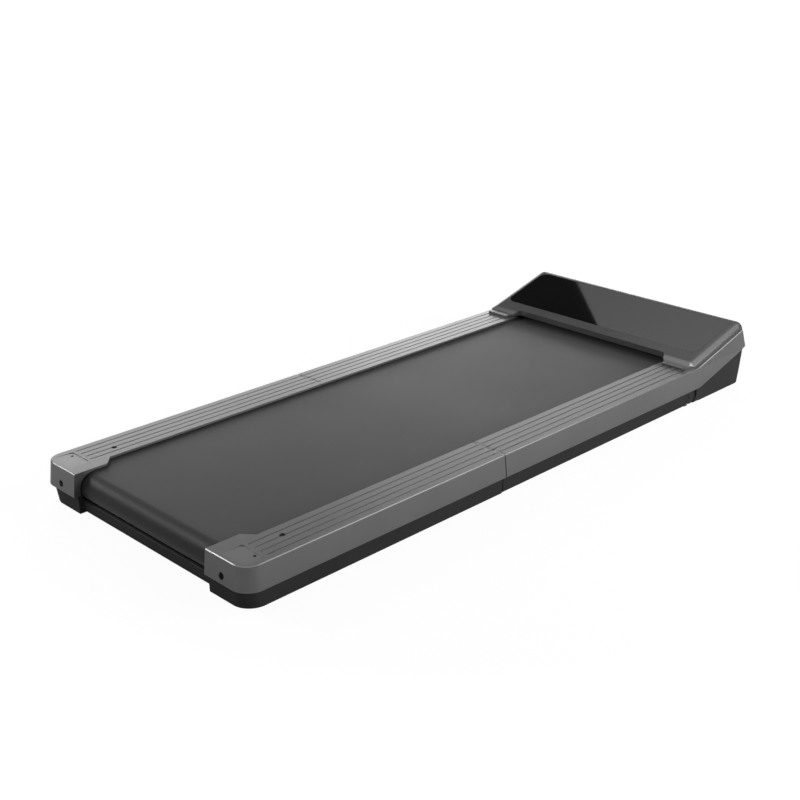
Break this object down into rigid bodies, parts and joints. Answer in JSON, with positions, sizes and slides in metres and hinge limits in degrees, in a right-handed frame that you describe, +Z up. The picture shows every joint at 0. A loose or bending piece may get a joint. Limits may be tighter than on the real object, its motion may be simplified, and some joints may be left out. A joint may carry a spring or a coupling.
{
  "type": "folding walking pad",
  "caption": "Flat folding walking pad: a belt between grooved silver side rails, hinged in the middle, with a sloped motor cover and dark skirts.",
  "frame": {"origin": "under the middle of the pad, on the floor", "axes": "+X to the user's right, +Y along the pad to the motor end, +Z up"},
  "size_m": [0.559, 1.3494, 0.1355],
  "materials": {
    "silver_cover": "satin silver-grey, finely grained",
    "dark_plastic": "matte black",
    "housing_grey": "satin dark grey",
    "panel_gloss": "high gloss black",
    "belt": "matte, fine woven grain",
    "frame_steel": "black powder coat or black oxide",
    "bright_steel": "turned, zinc plated",
    "deck_board": "waxed fibreboard",
    "rubber": "matte",
    "alloy": "extruded, plain",
    "board_green": "solder mask",
    "copper_core": "varnished windings"
  },
  "bodies": {
    "front_frame": {"controller_board": "board_green", "controller_capacitors": "alloy", "controller_heatsink": "alloy", "display_board": "board_green", "display_panel": "panel_gloss", "drive_belt": "rubber", "drive_roller_axle": "bright_steel", "drive_roller_mounts": "frame_steel", "front_bottom_pan": "dark_plastic", "front_cross_members": "frame_steel", "front_deck": "deck_board", "front_deck_cushions": "rubber", "front_feet": "rubber", "front_hinge_leaves": "frame_steel", "front_rail_cover_left": "silver_cover", "front_rail_cover_right": "silver_cover", "front_side_beams": "frame_steel", "front_skirt_left": "dark_plastic", "front_skirt_right": "dark_plastic", "motor_base": "dark_plastic", "motor_can": "frame_steel", "motor_saddles": "frame_steel", "motor_top_cover": "housing_grey", "power_inlet": "dark_plastic", "switch_frame": "dark_plastic", "walking_belt_front": "belt", "wheel_axles": "frame_steel", "wheel_brackets": "frame_steel"},
    "drive_roller": {"drive_roller": "bright_steel", "drive_roller_bearings": "bright_steel", "roller_pulley": "bright_steel"},
    "motor_rotor": {"motor_shaft": "bright_steel", "motor_armature": "copper_core", "motor_flywheel": "bright_steel", "motor_pulley": "bright_steel"},
    "wheel_left": {"transport_wheel_left": "dark_plastic"},
    "wheel_right": {"transport_wheel_right": "dark_plastic"},
    "rocker": {"power_rocker": "dark_plastic"},
    "fold_link": {"fold_links": "bright_steel", "fold_pins": "bright_steel"},
    "rear_axle": {"rear_roller_axle": "bright_steel"},
    "rear_roller": {"rear_roller": "bright_steel", "rear_roller_bearings": "bright_steel"},
    "bolt_left": {"tension_bolt_left": "frame_steel"},
    "bolt_right": {"tension_bolt_right": "frame_steel"},
    "rear_frame": {"rear_rail_cover_left": "silver_cover", "rear_rail_cover_right": "silver_cover", "rear_skirt_left": "dark_plastic", "rear_skirt_right": "dark_plastic", "rear_side_beams": "frame_steel", "rear_cross_members": "frame_steel", "rear_deck": "deck_board", "rear_deck_cushions": "rubber", "rear_hinge_leaves": "frame_steel", "rear_axle_mounts": "frame_steel", "rear_guard_bar": "dark_plastic", "rear_bottom_pan": "dark_plastic", "rear_feet": "rubber", "rail_cover_screws": "frame_steel", "walking_belt_rear": "belt"}
  },
  "joints": [
    {"name": "fold_front", "type": "hinge", "parent": "front_frame", "child": "fold_link", "pos_m": [0, -0.08935, 0.071], "axis": [-1, 0, 0], "range_deg": [0, 90]},
    {"name": "fold_rear", "type": "hinge", "parent": "fold_link", "child": "rear_frame", "pos_m": [0, -0.10715, 0.071], "axis": [-1, 0, 0], "range_deg": [0, 90]},
    {"name": "drive_roller_spin", "type": "hinge", "parent": "front_frame", "child": "drive_roller", "pos_m": [0, 0.52975, 0.0444], "axis": [1, 0, 0], "continuous": true},
    {"name": "motor_spin", "type": "hinge", "parent": "front_frame", "child": "motor_rotor", "pos_m": [0, 0.60975, 0.044], "axis": [1, 0, 0], "continuous": true},
    {"name": "rear_axle_slide", "type": "slide", "parent": "rear_frame", "child": "rear_axle", "axis": [0, 1, 0], "range_m": [0, 0.005]},
    {"name": "rear_roller_spin", "type": "hinge", "parent": "rear_axle", "child": "rear_roller", "pos_m": [0, -0.63325, 0.0444], "axis": [1, 0, 0], "continuous": true},
    {"name": "bolt_left_turn", "type": "hinge", "parent": "rear_frame", "child": "bolt_left", "pos_m": [-0.221, -0.65025, 0.0479], "axis": [0, 1, 0], "range_deg": [-1440, 0]},
    {"name": "bolt_right_turn", "type": "hinge", "parent": "rear_frame", "child": "bolt_right", "pos_m": [0.221, -0.65025, 0.0479], "axis": [0, 1, 0], "range_deg": [-1440, 0]},
    {"name": "wheel_left_spin", "type": "hinge", "parent": "front_frame", "child": "wheel_left", "pos_m": [-0.2555, 0.48525, 0.0196], "axis": [1, 0, 0], "continuous": true},
    {"name": "wheel_right_spin", "type": "hinge", "parent": "front_frame", "child": "wheel_right", "pos_m": [0.2555, 0.48525, 0.0196], "axis": [1, 0, 0], "continuous": true},
    {"name": "power_rocker_tilt", "type": "hinge", "parent": "front_frame", "child": "rocker", "pos_m": [0.096, 0.66307, 0.03442], "axis": [1, 0, 0], "range_deg": [0, 18]}
  ],
  "couplings": [
    {"joint": "fold_front", "follows": "fold_rear", "ratio": 1},
    {"joint": "motor_spin", "follows": "drive_roller_spin", "ratio": 3.2},
    {"joint": "rear_roller_spin", "follows": "drive_roller_spin", "ratio": 1},
    {"joint": "bolt_left_turn", "follows": "rear_axle_slide", "rad_per_m": -5026.5},
    {"joint": "bolt_right_turn", "follows": "rear_axle_slide", "rad_per_m": -5026.5}
  ]
}
